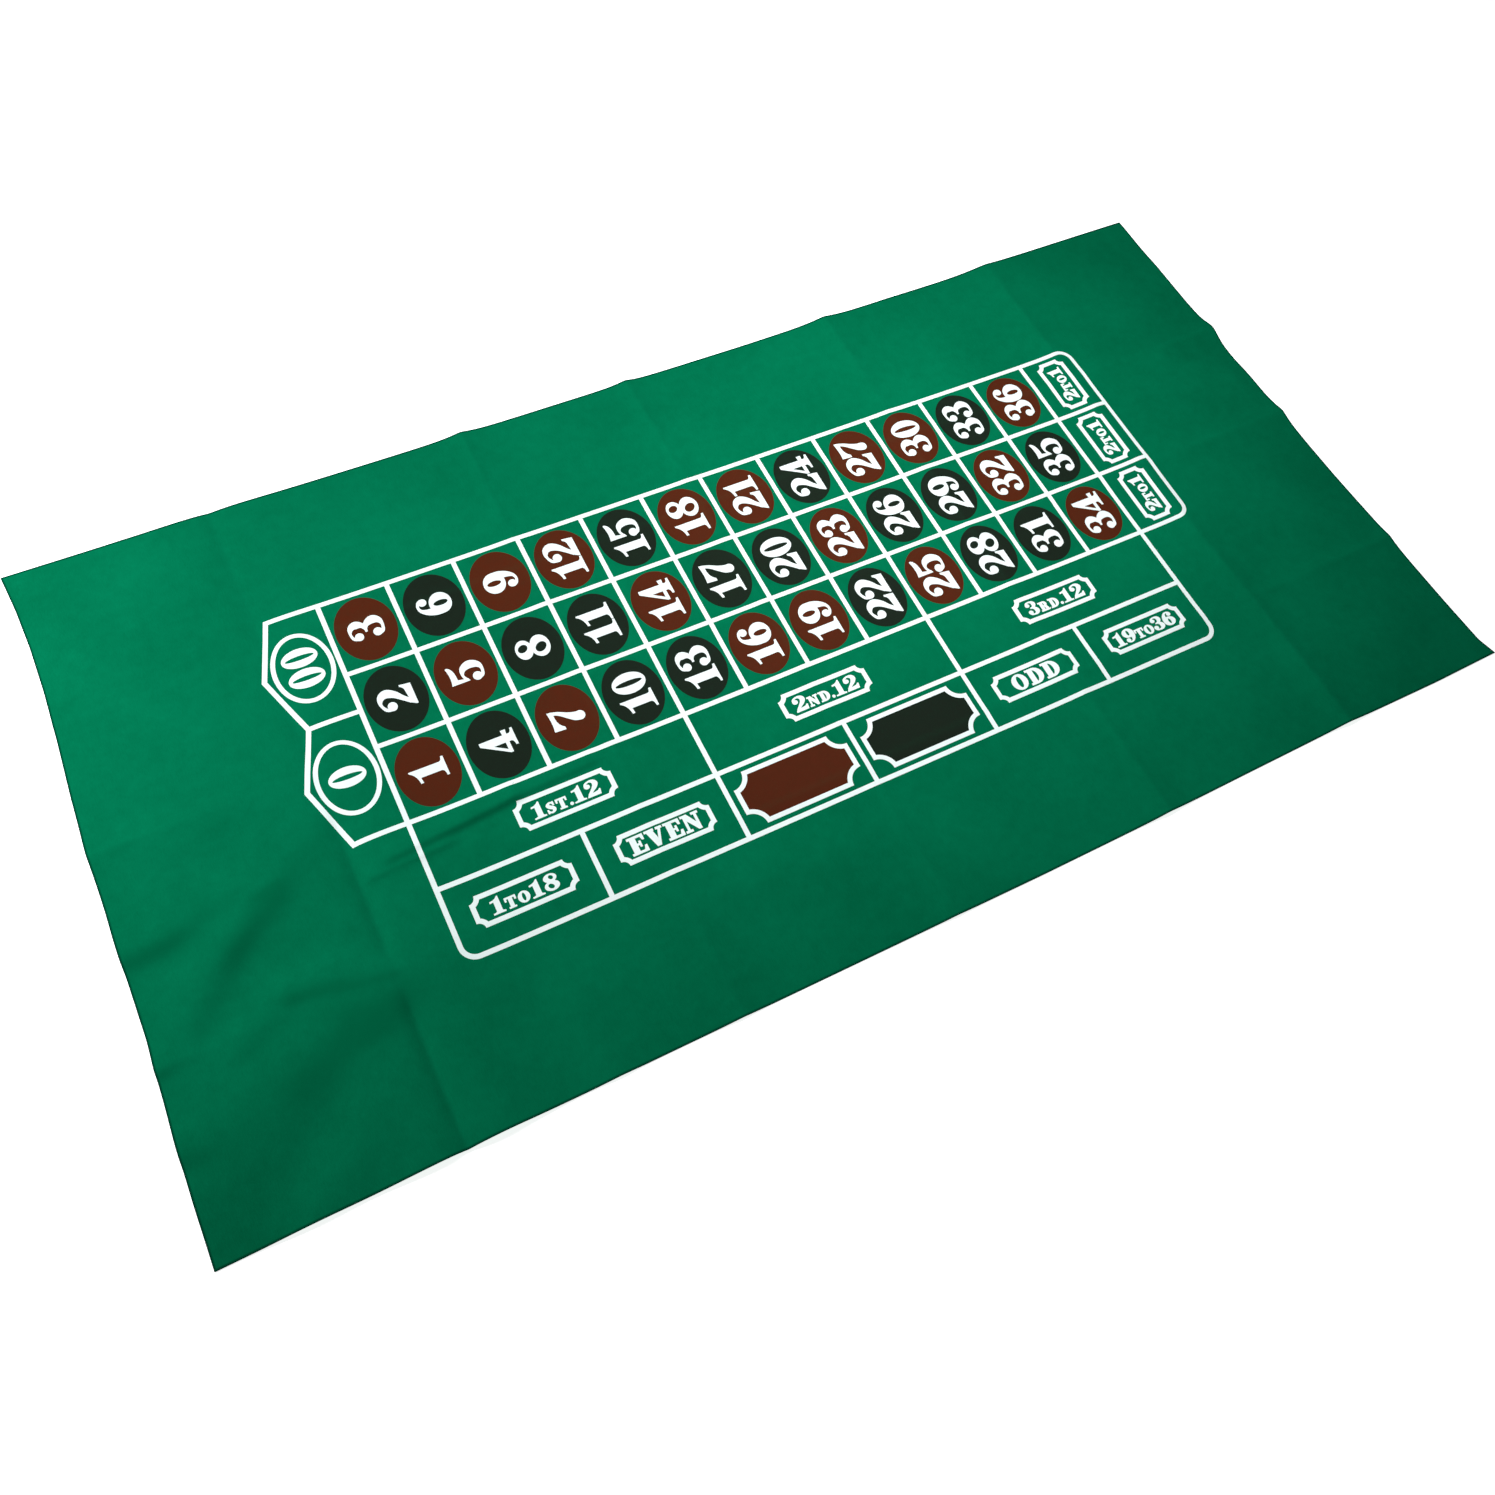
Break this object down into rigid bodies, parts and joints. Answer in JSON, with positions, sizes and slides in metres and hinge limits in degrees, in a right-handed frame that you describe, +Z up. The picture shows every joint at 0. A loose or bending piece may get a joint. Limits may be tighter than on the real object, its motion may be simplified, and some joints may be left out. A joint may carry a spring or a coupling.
{
  "type": "casino table layout cloth",
  "caption": "Flat green felt cloth printed with a double-zero roulette betting layout: number grid, zeros, dozen, column and even-money boxes.",
  "frame": {"origin": "middle of the cloth's underside, on the surface that the cloth lies on", "axes": "+X along the cloth's length from the zeros to the column boxes, +Y from the even-money boxes to the far edge, +Z up out of the printed face"},
  "size_m": [1.8288, 0.9144, 0.0013],
  "materials": {
    "felt": "matte green non-woven polyester felt",
    "white_ink": "matte white screen-print ink soaked into felt",
    "red_ink": "matte brownish red screen-print ink soaked into felt",
    "black_ink": "matte black screen-print ink soaked into felt"
  },
  "bodies": {
    "root": {"felt_cloth": "felt", "number_grid_lines": "white_ink", "zero_block_outline": "white_ink", "dozen_bet_lines": "white_ink", "outside_bet_lines": "white_ink", "column_bet_lines": "white_ink", "red_number_spots": "red_ink", "black_number_spots": "black_ink", "top_row_numerals": "white_ink", "middle_row_numerals": "white_ink", "bottom_row_numerals": "white_ink", "zero_ring": "white_ink", "zero_numeral": "white_ink", "double_zero_ring": "white_ink", "double_zero_numerals": "white_ink", "first_dozen_label": "white_ink", "second_dozen_label": "white_ink", "third_dozen_label": "white_ink", "low_bet_label": "white_ink", "even_bet_label": "white_ink", "odd_bet_label": "white_ink", "high_bet_label": "white_ink", "red_bet_plaque": "red_ink", "red_bet_frame": "white_ink", "black_bet_plaque": "black_ink", "black_bet_frame": "white_ink", "bottom_column_label": "white_ink", "middle_column_label": "white_ink", "top_column_label": "white_ink"}
  },
  "joints": []
}
